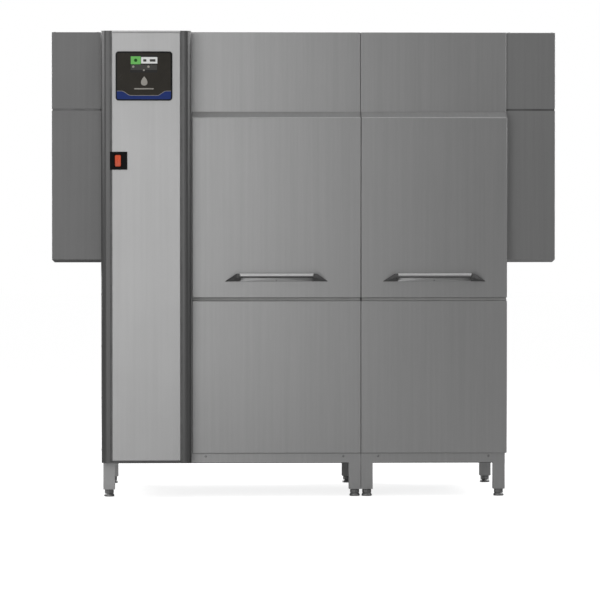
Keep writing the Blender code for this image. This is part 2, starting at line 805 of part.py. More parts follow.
def conveyor():
    """Two angle rails through the tunnel, and the reciprocating carriage with its pawls between them."""
    low_x = left + touch
    high_x = right - touch
    rail_top = tunnel_bottom + rail_rise
    low_z = rail_top - rail_size
    for side, outer, way in (("front", tunnel_front + touch, 1), ("rear", tunnel_rear - touch, -1)):
        across = sorted((outer, outer + way * rail_size))
        rail = block("conveyor_rail_" + side, (low_x, across[0], low_z), (high_x, across[1], rail_top), "steel")
        gap = sorted((outer + way * rail_wall, outer + way * (rail_size + overcut)))
        cut(rail, (low_x - overcut, gap[0], low_z + rail_wall), (high_x + overcut, gap[1], rail_top + overcut))
    half = carriage_width / 2
    low_x = left + carriage_end_gap
    high_x = right - carriage_entry_gap
    top = carriage_bottom + carriage_height
    frame = block("transport_carriage", (low_x, tunnel_middle - half, carriage_bottom),
                  (high_x, tunnel_middle + half, top), "steel")
    pitch = (high_x - low_x - carriage_bar) / carriage_windows
    for index in range(carriage_windows):
        start_x = low_x + carriage_bar + index * pitch
        cut(frame, (start_x, tunnel_middle - half + carriage_bar, carriage_bottom - overcut),
            (start_x + pitch - carriage_bar, tunnel_middle + half - carriage_bar, top + overcut))
    count = int((high_x - low_x) / pawl_pitch)
    for index in range(count):
        x = low_x + pawl_start + index * pawl_pitch
        for way in (-1, 1):
            y = tunnel_middle + way * (half - carriage_bar / 2)
            join(frame, (x, y - pawl_thickness / 2, top - 0.002),
                 (x + pawl_length, y + pawl_thickness / 2, top + pawl_height))


def gearmotor():
    """The conveyor's gearmotor: gearbox, motor along Y and the crank disc under the carriage."""
    half_x, half_y, half_z = (size / 2 for size in gearbox)
    x = left + gearmotor_end_gap + half_x
    y = tunnel_middle
    disc_top = carriage_bottom - gearmotor_clearance
    top = disc_top - crank_height
    middle_z = top - half_z
    obj = block("drive_gearmotor", (x - half_x, y - half_y, middle_z - half_z), (x + half_x, y + half_y, top),
                "motor")
    join_rod(obj, (x, y + half_y - overcut, middle_z), (x, y + half_y + motor_length, middle_z), motor_radius,
             sides=16)
    join_rod(obj, (x, y, top - overcut), (x, y, disc_top), crank_radius, sides=20)


def curtain(name, x):
    """A row of rubber strips that hangs from its own rod and swings about it."""
    low_y = tunnel_front + curtain_clearance
    high_y = tunnel_rear - curtain_clearance
    rod_z = tunnel_top - curtain_clearance
    half = curtain_thickness / 2
    curtain_bottom = tunnel_bottom + curtain_rise
    bm, middle = cube((x - half, low_y, curtain_bottom), (x + half, high_y, rod_z))
    bmesh.ops.translate(bm, vec=(0, 0, middle.z - rod_z), verts=bm.verts)
    obj = add(name, bm, (x, middle.y, rod_z), "rubber")
    join_rod(obj, (x, low_y, rod_z), (x, high_y, rod_z), curtain_rod, sides=8)
    pitch = (high_y - low_y) / strip_count
    for index in range(1, strip_count):
        slit_y = low_y + index * pitch
        cut(obj, (x - overcut, slit_y - slit_width / 2, curtain_bottom - overcut),
            (x + overcut, slit_y + slit_width / 2, rod_z - slit_top))


base()
enclosure()
posts()
doors()
column()
cowls()
tanks()
pump("wash_pump", left + rinse_zone + 0.280)
pump("prewash_pump", (prewash_left + right) / 2)
boiler()
connections()
spray_arms()
conveyor()
gearmotor()
curtain("curtain_exit", left + panel_return + curtain_inset)
curtain("curtain_entry", right - panel_return - curtain_inset)
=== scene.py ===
# Commercial rack-conveyor dishwasher: finishes, fittings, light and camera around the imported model.
import json
import math

import bmesh
import bpy
import numpy as np
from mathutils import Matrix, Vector


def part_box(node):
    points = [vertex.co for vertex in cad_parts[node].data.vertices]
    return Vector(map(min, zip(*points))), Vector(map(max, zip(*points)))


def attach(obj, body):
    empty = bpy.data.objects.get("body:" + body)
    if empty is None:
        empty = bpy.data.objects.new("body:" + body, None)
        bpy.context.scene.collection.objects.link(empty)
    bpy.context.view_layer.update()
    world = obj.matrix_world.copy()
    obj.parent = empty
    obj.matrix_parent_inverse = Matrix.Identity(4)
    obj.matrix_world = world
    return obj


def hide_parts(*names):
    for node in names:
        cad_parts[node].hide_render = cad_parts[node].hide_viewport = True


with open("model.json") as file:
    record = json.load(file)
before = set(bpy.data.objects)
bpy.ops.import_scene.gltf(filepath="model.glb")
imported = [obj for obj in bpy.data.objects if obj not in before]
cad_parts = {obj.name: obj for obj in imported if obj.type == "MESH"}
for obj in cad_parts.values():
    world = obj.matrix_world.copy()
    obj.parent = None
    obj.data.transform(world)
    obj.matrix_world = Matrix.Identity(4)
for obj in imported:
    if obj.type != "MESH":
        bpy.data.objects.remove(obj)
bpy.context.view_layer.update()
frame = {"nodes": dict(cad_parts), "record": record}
nodes = frame["nodes"]
scene = bpy.context.scene
modules = ("wash", "prewash")
print("frame loaded:", len(nodes), "nodes")

# directions of the machine's faces: across, up along the face
frontFace = ((1, 0, 0), (0, 0, 1))
rearFace = ((-1, 0, 0), (0, 0, 1))
leftFace = ((0, -1, 0), (0, 0, 1))
rightFace = ((0, 1, 0), (0, 0, 1))
topFace = ((1, 0, 0), (0, 1, 0))
bottomFace = ((1, 0, 0), (0, -1, 0))


def newGroup(name, inputs, outputs):
    # an empty shader group with its sockets; returns the tree, its input node and its output node
    tree = bpy.data.node_groups.new(name, "ShaderNodeTree")
    for label, value in inputs:
        socket = tree.interface.new_socket(label, in_out="INPUT", socket_type="NodeSocketFloat")
        socket.default_value = value
    for label in outputs:
        tree.interface.new_socket(label, in_out="OUTPUT", socket_type="NodeSocketFloat")
    return tree, tree.nodes.new("NodeGroupInput"), tree.nodes.new("NodeGroupOutput")


def setInputs(node, values):
    for label, value in values.items():
        node.inputs[label].default_value = value
    return node


def mathNode(tree, operation, first, second=0.5, third=None):
    # each of first, second and third is a socket or a number
    node = tree.nodes.new("ShaderNodeMath")
    node.operation = operation
    for slot, value in enumerate((first, second, third)):
        if value is None:
            continue
        if isinstance(value, (int, float)):
            node.inputs[slot].default_value = value
        else:
            tree.links.new(value, node.inputs[slot])
    return node.outputs[0]


def vectorNode(tree, operation, vector, value):
    # MULTIPLY by a triple or a vector socket, or SCALE by a number or a float socket
    node = tree.nodes.new("ShaderNodeVectorMath")
    node.operation = operation
    tree.links.new(vector, node.inputs[0])
    socket = node.inputs["Scale"] if operation == "SCALE" else node.inputs[1]
    if isinstance(value, (int, float, tuple)):
        socket.default_value = value
    else:
        tree.links.new(value, socket)
    return node.outputs[0]


def noiseNode(tree, vector, scale, detail=2.0, roughness=0.5):
    node = tree.nodes.new("ShaderNodeTexNoise")
    setInputs(node, {"Scale": scale, "Detail": detail, "Roughness": roughness})
    tree.links.new(vector, node.inputs["Vector"])
    return node.outputs["Fac"]


grainLook = {"stretch": 0.985, "levelFrom": 0.7, "detail": 3.0, "rough": 0.6, "streaks": 0.45, "bands": 0.55,
             "low": 0.33, "high": 0.67, "bumpDepth": 0.0002}
markLook = {"detail": 4.0, "rough": 0.6, "runs": (6.0, 6.0, 0.6), "runShare": 0.5, "low": 0.35, "high": 0.7,
            "lift": 0.004}


def makeBrushedGrain():
    # noise drawn out along Z on upright faces and along Y on level ones, at a fine and a broad scale
    stretch = grainLook["stretch"]
    tree, given, result = newGroup("brushedGrain", [("Fine", 700.0), ("Broad", 45.0)], ["Streaks", "Bands"])
    place = tree.nodes.new("ShaderNodeTexCoord").outputs["Object"]
    split = tree.nodes.new("ShaderNodeSeparateXYZ")
    tree.links.new(tree.nodes.new("ShaderNodeNewGeometry").outputs["Normal"], split.inputs[0])
    facing = mathNode(tree, "ABSOLUTE", split.outputs["Z"])
    level = mathNode(tree, "GREATER_THAN", facing, grainLook["levelFrom"])
    drawn = tree.nodes.new("ShaderNodeCombineXYZ")
    drawn.inputs["X"].default_value = 1.0
    tree.links.new(mathNode(tree, "MULTIPLY_ADD", level, -stretch, 1.0), drawn.inputs["Y"])
    tree.links.new(mathNode(tree, "MULTIPLY_ADD", level, stretch, 1 - stretch), drawn.inputs["Z"])
    stretched = vectorNode(tree, "MULTIPLY", place, drawn.outputs[0])
    for size, label in (("Fine", "Streaks"), ("Broad", "Bands")):
        scaled = vectorNode(tree, "SCALE", stretched, given.outputs[size])
        noise = noiseNode(tree, scaled, 1.0, grainLook["detail"], grainLook["rough"])
        tree.links.new(noise, result.inputs[label])
    return tree


def makeHandling():
    # soft blotches from hands and cloths, and faint long runs where water dried
    tree, given, result = newGroup("handling", [("Size", 3.0)], ["Blotches", "Runs"])
    place = tree.nodes.new("ShaderNodeTexCoord").outputs["Object"]
    scaled = vectorNode(tree, "SCALE", place, given.outputs["Size"])
    blotches = noiseNode(tree, scaled, 1.0, markLook["detail"], markLook["rough"])
    tree.links.new(blotches, result.inputs["Blotches"])
    drawn = vectorNode(tree, "MULTIPLY", scaled, markLook["runs"])
    tree.links.new(noiseNode(tree, drawn, 1.0), result.inputs["Runs"])
    return tree


brushedGrain = makeBrushedGrain()
handling = makeHandling()


def groupNode(tree, group, **values):
    node = tree.nodes.new("ShaderNodeGroup")
    node.node_tree = group
    return setInputs(node, values)


def newMaterial(name):
    material = bpy.data.materials.new(name)
    material.use_nodes = True
    tree = material.node_tree
    return material, tree, tree.nodes["Principled BSDF"]


def rampNode(tree, value, low, high, lowColour, highColour):
    node = tree.nodes.new("ShaderNodeValToRGB")
    node.color_ramp.elements[0].position = low
    node.color_ramp.elements[0].color = (*lowColour, 1)
    node.color_ramp.elements[1].position = high
    node.color_ramp.elements[1].color = (*highColour, 1)
    tree.links.new(value, node.inputs[0])
    return node.outputs[0]


def bumpNode(tree, shader, height, strength):
    bump = tree.nodes.new("ShaderNodeBump")
    setInputs(bump, {"Strength": strength, "Distance": grainLook["bumpDepth"]})
    tree.links.new(height, bump.inputs["Height"])
    tree.links.new(bump.outputs[0], shader.inputs["Normal"])


def steelFinish(name, look):
    # brushed sheet: streaks and bands move the colour and the roughness, the fine streaks give the bump
    material, tree, shader = newMaterial(name)
    grain = groupNode(tree, brushedGrain, Fine=look["fine"], Broad=look["broad"])
    marks = groupNode(tree, handling, Size=look["markSize"])
    mixed = mathNode(tree, "MULTIPLY_ADD", grain.outputs["Streaks"], grainLook["streaks"],
                     mathNode(tree, "MULTIPLY", grain.outputs["Bands"], grainLook["bands"]))
    dark = tuple(channel * (1 - look["swing"]) for channel in look["colour"])
    light = tuple(channel * (1 + look["swing"]) for channel in look["colour"])
    colour = rampNode(tree, mixed, grainLook["low"], grainLook["high"], dark, light)
    tree.links.new(colour, shader.inputs["Base Color"])
    rough = mathNode(tree, "MULTIPLY_ADD", marks.outputs["Blotches"], look["markRough"], look["rough"])
    runRough = look["markRough"] * markLook["runShare"]
    rough = mathNode(tree, "MULTIPLY_ADD", marks.outputs["Runs"], runRough, rough)
    rough = mathNode(tree, "MULTIPLY_ADD", grain.outputs["Streaks"], look["grainRough"], rough)
    tree.links.new(rough, shader.inputs["Roughness"])
    bumpNode(tree, shader, grain.outputs["Streaks"], look["bump"])
    shader.inputs["Metallic"].default_value = look["metal"]
    return material


def mouldedFinish(name, look):
    # moulded, painted or printed: fine texture bump, with soft blotches in the colour and the roughness
    material, tree, shader = newMaterial(name)
    marks = groupNode(tree, handling, Size=look["markSize"])
    blotches = marks.outputs["Blotches"]
    worn = tuple(channel * (1 + look["swing"]) + markLook["lift"] for channel in look["colour"])
    colour = rampNode(tree, blotches, markLook["low"], markLook["high"], look["colour"], worn)
    tree.links.new(colour, shader.inputs["Base Color"])
    rough = mathNode(tree, "MULTIPLY_ADD", blotches, look["markRough"], look["rough"])
    tree.links.new(rough, shader.inputs["Roughness"])
    place = tree.nodes.new("ShaderNodeTexCoord").outputs["Object"]
    bumpNode(tree, shader, noiseNode(tree, place, look["texture"], grainLook["detail"]), look["bump"])
    setInputs(shader, {"Metallic": look["metal"], "Coat Weight": look["coat"],
                       "Specular IOR Level": look["specular"]})
    if look["glow"]:
        setInputs(shader, {"Emission Color": (*look["colour"], 1), "Emission Strength": look["glow"]})
    return material


def grey(value):
    return (value, value, value)


sheet = {"colour": grey(0.46), "swing": 0.05, "fine": 900.0, "broad": 80.0, "markSize": 2.5, "rough": 0.34,
         "markRough": 0.08, "grainRough": 0.06, "bump": 0.25, "metal": 1.0}
moulded = {"colour": grey(0.05), "swing": 0.5, "markSize": 14.0, "rough": 0.42, "markRough": 0.18,
           "bump": 0.25, "texture": 900.0, "metal": 0.0, "coat": 0.0, "glow": 0.0, "specular": 0.4}
printed = {**moulded, "swing": 0.08, "rough": 0.25, "bump": 0.05, "specular": 0.15}
sheetLooks = {
    "sheetSteel": {},
    # the cowls: copies of the sheet steel made darker as painted shade, the exit cowl much darker than the
    # entry cowl
    "exitCowlPaintedShadeSteel": {"colour": grey(0.205), "rough": 0.40},
    "entryCowlPaintedShadeSteel": {"colour": grey(0.365), "rough": 0.40},
    "panelSteel": {"colour": grey(0.58), "swing": 0.03, "rough": 0.42},
    # the column's rounded corner profiles: the same steel made dark as painted shade and painted dark
    # reflection
    "paintedShadeProfileSteel": {"colour": grey(0.155)},
    "handleSteel": {"colour": grey(0.66), "rough": 0.26},
    "innerSteel": {"colour": grey(0.50), "rough": 0.28},
    "screwSteel": {"colour": grey(0.30), "rough": 0.24},
}
mouldedLooks = {
    # the brackets' own dark plastic, also laid along the bar's underside as painted shade
    "bracketPlasticAndBarShade": {"colour": grey(0.085)},
    "switchPlastic": {"colour": grey(0.004), "specular": 0.1},
    "displayGloss": {"colour": (0.032, 0.028, 0.022), "rough": 0.16, "swing": 0.15, "specular": 0.12},
    "displayRim": {"colour": grey(0.008), "rough": 0.20, "specular": 0.12},
    "rockerRed": {"colour": (0.58, 0.07, 0.02), "swing": 0.3, "rough": 0.25, "glow": 0.30, "coat": 0.2},
    # a dark grey laid in grooves, seams, slots and gaps as painted shade
    "paintedShadeGrey": {"colour": grey(0.15), "metal": 0.6},
    "sealGrey": {"colour": (0.400, 0.400, 0.395), "swing": 0.15, "rough": 0.6},
    "curtainRubber": {"colour": (0.035, 0.06, 0.085), "rough": 0.55},
    "motorPaint": {"colour": (0.04, 0.09, 0.16), "coat": 0.2},
    "weightIron": {"colour": grey(0.09), "metal": 0.8},
    "footPlastic": {"colour": grey(0.24), "metal": 0.7, "rough": 0.32},
    "switchgearGrey": {"colour": (0.50, 0.51, 0.51), "swing": 0.06},
}
printedLooks = {
    "screenGlass": {"colour": (0.022, 0.021, 0.020), "rough": 0.08},
    "greenKey": {"colour": (0.13, 0.42, 0.10), "glow": 0.35},
    "darkGreen": {"colour": (0.01, 0.10, 0.01)},
    "whiteKey": {"colour": (0.70, 0.71, 0.70), "glow": 0.25},
    "paleInk": {"colour": (0.44, 0.42, 0.38)},
    "dimInk": {"colour": (0.075, 0.075, 0.070)},
    "blueBand": {"colour": (0.012, 0.036, 0.20)},
}
finishes = {name: steelFinish(name, {**sheet, **look}) for name, look in sheetLooks.items()}
finishes.update((name, mouldedFinish(name, {**moulded, **look})) for name, look in mouldedLooks.items())
finishes.update((name, mouldedFinish(name, {**printed, **look})) for name, look in printedLooks.items())
slotFinish = {
    "steel": "sheetSteel", "column_panel": "panelSteel", "column_profile": "paintedShadeProfileSteel",
    "handle_steel": "handleSteel", "bracket_plastic": "bracketPlasticAndBarShade", "inner_steel": "innerSteel",
    "electrical_parts": "switchgearGrey", "display_gloss": "displayGloss", "switch_black": "switchPlastic",
    "rocker_red": "rockerRed", "curtain_rubber": "curtainRubber", "motor_paint": "motorPaint",
    "weight_iron": "weightIron", "foot_plastic": "footPlastic",
}


def paintNodes():
    for part in frame["record"]["subparts"]:
        finish = slotFinish[part["material_slot"]]
        # each cowl gets its darkened copy of the sheet steel, painted shade
        if part["node"].startswith("cowl"):
            finish = "exitCowlPaintedShadeSteel" if part["node"].endswith("exit") else "entryCowlPaintedShadeSteel"
        mesh = nodes[part["node"]].data
        mesh.materials.clear()
        mesh.materials.append(finishes[finish])


paintNodes()
print("finishes placed")


def gridFaces(rows, columns, wrapRows, wrapColumns):
    # quads between neighbouring grid points; a wrapped direction joins its last line to its first
    row = np.arange(rows if wrapRows else rows - 1)[:, None]
    column = np.arange(columns if wrapColumns else columns - 1)[None, :]
    nextRow = (row + 1) % rows
    nextColumn = (column + 1) % columns
    quads = np.stack([row * columns + column, row * columns + nextColumn,
                      nextRow * columns + nextColumn, nextRow * columns + column], axis=-1)
    return quads.reshape(-1, 4)


weld = 0.000002  # points nearer than this become one
sunk = 0.0006    # how far a printed area or a screw head reaches into what carries it
seat = 0.0004    # how far a strip, a cover or a rivet reaches into the sheet behind it


def makePiece(name, grids, finish, body="cabinet", replaced=(), sharp=32):
    # one object from closed surfaces; a grid is (copies,) rows, columns, xyz, and columns run round the shape
    points, quads, count = [], [], 0
    for grid in grids:
        grid = np.asarray(grid, dtype=float)
        grid = grid.reshape((-1,) + grid.shape[-3:])
        copies, rows, columns = grid.shape[:3]
        shift = count + np.arange(copies)[:, None, None] * rows * columns
        quads.append((gridFaces(rows, columns, False, True)[None] + shift).reshape(-1, 4))
        points.append(grid.reshape(-1, 3))
        count += copies * rows * columns
    mesh = bpy.data.meshes.new(name)
    mesh.from_pydata(np.concatenate(points).tolist(), [], np.concatenate(quads).tolist())
    shape = bmesh.new()
    shape.from_mesh(mesh)
    bmesh.ops.remove_doubles(shape, verts=shape.verts, dist=weld)
    bmesh.ops.recalc_face_normals(shape, faces=shape.faces)
    shape.to_mesh(mesh)
    shape.free()
    mesh.shade_smooth()
    mesh.set_sharp_from_angle(angle=math.radians(sharp))
    mesh.materials.append(finishes[finish])
    piece = bpy.data.objects.new(name, mesh)
    scene.collection.objects.link(piece)
    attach(piece, body)
    if replaced:
        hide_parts(*replaced)
    return piece


def placed(grid, origin, face):
    # local (across, up, out) to the machine's axes: origin + x across + y up + z out
    across, upward = (np.array(way, dtype=float) for way in face)
    outward = np.cross(across, upward)
    return np.asarray(origin) + grid[..., :1] * across + grid[..., 1:2] * upward + grid[..., 2:3] * outward


def closedEnds(grid):
    # shrinks one more line at each end to the middle of the first and the last line
    first = np.broadcast_to(grid[:1].mean(axis=1, keepdims=True), grid[:1].shape)
    last = np.broadcast_to(grid[-1:].mean(axis=1, keepdims=True), grid[-1:].shape)
    return np.concatenate([first, grid, last])


def solidGrid(*columns):
    return closedEnds(np.stack(np.broadcast_arrays(*columns), axis=-1))


def turns(count):
    return np.linspace(0, 2 * math.pi, count, endpoint=False)


def padGrid(halfWide, halfHigh, corner, steps, arc=6):
    # rounded rectangle drawn in by each step's inset at its height: side = half - max(corner, inset),
    # point = side in its quadrant + max(corner - inset, 0) * (cos, sin)
    inset, height = np.array(steps, dtype=float).T[:, :, None]
    quadrant = np.repeat(np.arange(4), arc + 1)
    angle = (quadrant + np.tile(np.linspace(0, 1, arc + 1), 4)) * math.pi / 2
    signX = np.where((quadrant == 0) | (quadrant == 3), 1, -1)
    signY = np.where(quadrant < 2, 1, -1)
    radius = np.maximum(corner - inset, 0)
    x = signX * (halfWide - np.maximum(corner, inset)) + radius * np.cos(angle)
    y = signY * (halfHigh - np.maximum(corner, inset)) + radius * np.sin(angle)
    return solidGrid(x, y, height)


def latheGrid(profile, sides=24, ridges=0, ripple=0.0, facets=0):
    # radius and height turned about the out axis; ridges ripple the radius, facets flatten it to a polygon
    radius, height = np.array(profile, dtype=float).T[:, :, None]
    angle = turns(sides)
    radius = radius * (1 + ripple * np.cos(ridges * angle))
    if facets:
        half = math.pi / facets
        radius = radius * math.cos(half) / np.cos((angle % (2 * half)) - half)
    return solidGrid(radius * np.cos(angle), radius * np.sin(angle), height)


def roundOutline(radius, sides=16):
    angle = turns(sides)
    return radius * np.stack([np.cos(angle), np.sin(angle)], axis=-1)


def loopPath(halfWide, halfHigh, corner, arc=5):
    # a closed rounded rectangle as a path that ends where it starts
    ring = padGrid(halfWide, halfHigh, corner, [(0, 0), (0, 0)], arc)[1]
    return np.concatenate([ring, ring[:1]])


def sweepGrid(path, outline, upward=(0, 0, 1)):
    # outline (side, up) carried along the path, square to its direction at each point
    path = np.asarray(path, dtype=float)
    along = np.gradient(path, axis=0)
    along /= np.linalg.norm(along, axis=1, keepdims=True)
    side = np.cross(along, np.asarray(upward, dtype=float))
    side /= np.linalg.norm(side, axis=1, keepdims=True)
    above = np.cross(side, along)
    grid = path[:, None] + outline[None, :, :1] * side[:, None] + outline[None, :, 1:] * above[:, None]
    return closedEnds(grid)


def smoothRise(value, low, high):
    # 0 below low, 1 above high, and 3t^2 - 2t^3 between
    t = np.clip((value - low) / (high - low), 0, 1)
    return t * t * (3 - 2 * t)


def edgeSteps(thickness, roundness):
    # the steps of a plate with a quarter-round front edge: inset r (1 - cos), height t - r + r sin
    turn = np.linspace(0, math.pi / 2, 5)
    inset = roundness * (1 - np.cos(turn))
    height = thickness - roundness + roundness * np.sin(turn)
    return [(0, 0)] + list(zip(inset, height))


def flat(deep):
    # the steps of a square-edged plate that lies behind its place
    return [(0, -deep), (0, 0)]


def nodeFrame(node):
    # lowest corner, highest corner, middle and half size of a node at rest, as arrays
    low, high = (np.array(corner, dtype=float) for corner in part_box(node))
    return low, high, (low + high) / 2, (high - low) / 2


def fitPlate(name, size, steps, place, face=frontFace, finish="sheetSteel", body="cabinet"):
    # one rounded plate; size is its half width, half height and corner radius
    makePiece(name, [placed(padGrid(*size, steps), place, face)], finish, body)


displayLook = {
    "corner": 0.012, "thickness": 0.0062, "edge": 0.0025, "box": (0.066, 0.052, 0.024), "boxCorner": 0.004,
    "boxGap": 0.0001, "rim": 0.0062, "faceLayers": 0.25, "layer": 0.0004, "bevel": 0.001,
    "keyDot": 0.0062, "keyDotLayers": 3.2, "rowDot": 0.0044, "rowDotLayers": 1.6,
    "rowDots": ((-0.0404, 0.0352, 0), (0.0173, 0.0352, 0)), "dotTop": 0.6, "dotRise": 0.0001,
    "drop": (0.0010, -0.0190), "dropSize": 0.0175, "dropWide": 0.651, "dropSides": 48, "dropTop": 0.6,
    "bandSide": -0.0572, "bandMiddle": -0.0741, "bandInner": 0.0500, "bandOuter": 0.0850, "bandInset": 0.0050,
    "bandColumns": 61, "lineRadius": 0.0008, "lineCut": 2,
}
# each area: across, up, half width, half height, all from the display's middle, finish, layers, corner
displayAreas = {
    "screenWindow": (-0.0004, 0.0460, 0.0515, 0.0330, "screenGlass", 0.5, 0.003),
    "statusRow": (-0.0004, 0.0330, 0.0500, 0.0100, "dimInk", 0.8, 0.0015),
    "startKey": (-0.0312, 0.0595, 0.0189, 0.0150, "greenKey", 2.5, 0.0015),
    "statusBlock": (0.0202, 0.0595, 0.0310, 0.0123, "whiteKey", 2.0, 0.0015),
    "statusMark1": (0.0035, 0.0590, 0.0060, 0.0046, "dimInk", 2.6, 0.0015),
    "statusMark2": (0.0330, 0.0590, 0.0108, 0.0046, "dimInk", 2.6, 0.0015),
    "rowTick": (-0.0004, 0.0218, 0.0030, 0.0030, "paleInk", 1.2, 0.001),
    "plainLine": (0.0, -0.0487, 0.0368, 0.0022, "paleInk", 1.0, 0.0015),
}


def onDisplay(name, grid, finish, across=0.0, upward=0.0):
    # a printed or lit shape on the display's front, placed from the display's middle
    low, _, middle, _ = nodeFrame("control_display")
    place = (middle[0] + across, low[1], middle[2] + upward)
    makePiece(name, [placed(grid, place, frontFace)], finish, "cabinet")


def printedPad(name, across, upward, halfWide, halfHigh, finish, layers, corner, bevel):
    top = layers * displayLook["layer"]
    pad = padGrid(halfWide, halfHigh, corner, [(0, -sunk), (0, top), (bevel, top)])
    onDisplay(name, pad, finish, across, upward)


def disc(radius, layers):
    top = layers * displayLook["layer"]
    crown = (radius * displayLook["dotTop"], top + displayLook["dotRise"])
    return latheGrid([(radius, -sunk), (radius, top), crown], 20)


def makeBand(halfWide, halfHigh):
    # blue band: from the fascia's lower outline up to a dish-shaped line; each column rises from the outline
    # z = -half + r - sqrt(r^2 - past^2) at the corners, to z = middle + (side - middle) * smooth rise of |x|
    look = displayLook
    corner = look["corner"] - look["bandInset"]
    half = halfWide - look["bandInset"]
    x = half * np.sin(np.linspace(-math.pi / 2, math.pi / 2, look["bandColumns"]))
    past = np.clip(np.abs(x) - (half - corner), 0, corner)
    bottom = -halfHigh + look["bandInset"] + corner - np.sqrt(np.maximum(corner ** 2 - past ** 2, 0))
    rise = smoothRise(np.abs(x), look["bandInner"], look["bandOuter"])
    top = look["bandMiddle"] + (look["bandSide"] - look["bandMiddle"]) * rise
    spine = (bottom + top) / 2
    across = np.concatenate([x, x[::-1]])
    outline = np.concatenate([bottom, top[::-1]])
    spine = np.concatenate([spine, spine[::-1]])
    rows = ((spine, -sunk), (outline, -sunk), (outline, look["layer"]), (spine, look["layer"]))
    grid = np.stack([np.column_stack([across, line, np.full(len(line), height)]) for line, height in rows])
    onDisplay("waveBand", grid, "blueBand")
    line = np.column_stack([x, top, np.full(len(x), look["layer"])])[look["lineCut"]:-look["lineCut"]]
    onDisplay("waveRim", sweepGrid(line, roundOutline(look["lineRadius"], 8)), "paleInk")


def makeDrop():
    # a plain water drop: half width = size * wide * cos * (1 - sin)^0.5 narrows it to the top
    look = displayLook
    angle = turns(look["dropSides"])
    wide = look["dropWide"] * np.cos(angle) * (1 - np.sin(angle)) ** 0.5
    outline = look["dropSize"] * np.stack([wide, np.sin(angle)], axis=-1)
    steps = ((1.0, -sunk), (1.0, look["layer"]), (look["dropTop"], look["layer"] * 2))
    grid = np.stack([np.insert(outline * share, 2, height, axis=-1) for share, height in steps])
    onDisplay("dropMark", closedEnds(grid), "paleInk", *look["drop"])


def makeDisplay():
    look = displayLook
    rim, gap = look["rim"], look["boxGap"]
    low, _, middle, (halfWide, _, halfHigh) = nodeFrame("control_display")
    back = (middle[0], low[1] + look["thickness"], middle[2])
    plate = padGrid(halfWide, halfHigh, look["corner"], edgeSteps(look["thickness"], look["edge"]))
    boxWide, boxHigh, boxDeep = look["box"]
    housing = padGrid(boxWide, boxHigh, look["boxCorner"], [(0, gap - boxDeep), (0, -gap)])
    grids = [placed(plate, back, frontFace), placed(housing, back, frontFace)]
    makePiece("displayFascia", grids, "displayRim", "cabinet", ["control_display"])
    printedPad("displayFace", 0, 0, halfWide - rim, halfHigh - rim, "displayGloss", look["faceLayers"],
               look["corner"] - rim / 2, rim / 4)
    for name, area in displayAreas.items():
        printedPad(name, *area, look["bevel"])
    dot = disc(look["keyDot"], look["keyDotLayers"])
    onDisplay("startDot", dot, "darkGreen", *displayAreas["startKey"][:2])
    dot = disc(look["rowDot"], look["rowDotLayers"])
    onDisplay("rowDots", np.stack([dot + spot for spot in look["rowDots"]]), "paleInk")
    makeBand(halfWide, halfHigh)
    makeDrop()


switchLook = {
    "bezelGap": 0.0022, "bezelWidth": 0.0018, "tilt": math.radians(10), "dip": 0.0030, "dipPower": 1.5,
    "halfDepth": 0.006, "edge": 0.0012, "corner": 0.0045, "rise": 0.0004, "insets": (0.0008, 0.002),
    "inner": (0.0035, 0.0005, 6), "bezel": ((-1, 0), (-0.6, 0.8), (0.6, 0.8), (1, 0), (1, -0.6), (-1, -0.6)),
}


def makeSwitch():
    # rocker: a rounded block whose face dips to its pivot, height = half depth - dip (1 - |z| / half)^power,
    # turned by the tilt about its own middle; the bezel is a rounded bar along each side of a rectangle
    look = switchLook
    joints = frame["record"]["behaviour"]["joints"]
    pivot = next(joint["pos_m"] for joint in joints if joint["name"] == "main_switch_tilt")
    _, _, middle, half = nodeFrame("switch_rocker")
    depth, turn, lift = look["halfDepth"], math.cos(look["tilt"]), math.sin(look["tilt"])
    halfWide = half[0]
    halfHigh = half[2] / turn - depth * math.tan(look["tilt"]) + look["rise"]
    first, last, count = look["inner"]
    insets = [*look["insets"], *np.linspace(first, halfWide - last, count)]
    steps = [(0, -depth), (0, depth - look["edge"])] + [(inset, depth) for inset in insets]
    grid = padGrid(halfWide, halfHigh, look["corner"], steps, 8)
    fall = look["dip"] * np.clip(1 - np.abs(grid[..., 1]) / halfHigh, 0, 1) ** look["dipPower"]
    grid[..., 2] -= np.where(grid[..., 2] > 0, fall, 0)
    up, out = grid[..., 1].copy(), grid[..., 2].copy()
    grid[..., 1] = up * turn - out * lift
    grid[..., 2] = out * turn + up * lift
    makePiece("switchRocker", [placed(grid, (middle[0], pivot[1], pivot[2]), frontFace)], "rockerRed",
              "main_switch", ["switch_rocker"])
    place = (middle[0], nodeFrame("switch_housing")[0][1], pivot[2])
    wide, high = halfWide + look["bezelGap"], halfHigh + look["bezelGap"]
    corners = np.array([(-wide, -high), (wide, -high), (wide, high), (-wide, high)])
    outline = np.array(look["bezel"]) * look["bezelWidth"] / 2
    bars = []
    for start, end in zip(corners, np.roll(corners, -1, axis=0)):
        step = (end - start) / np.linalg.norm(end - start) * look["bezelWidth"] / 2
        ends = np.column_stack([np.linspace(start - step, end + step, 3), np.zeros(3)])
        bars.append(placed(sweepGrid(ends, outline), place, frontFace))
    makePiece("switchBezel", bars, "switchPlastic", "cabinet")


handleLook = {
    "radius": 0.0086, "sides": 32, "rows": 9, "endCut": 0.006, "underShadeFrom": -1.35, "underShadeTo": -0.30,
    "underShadeThick": 0.0012, "underShadeSunk": 0.0004, "stripHigh": 0.024, "stripProud": 0.0007, "stripCorner": 0.001,
    "stripBevel": 0.0006, "rivet": 0.0030, "rivetHigh": (0.001, 0.0018), "rivetTop": 0.7, "rivetUp": 1.6,
    "bracketEdge": 0.0016, "bracketCorner": 0.06, "bracketHead": 0.011, "bracketFoot": 0.021,
    "tipHeight": 0.0025,
}


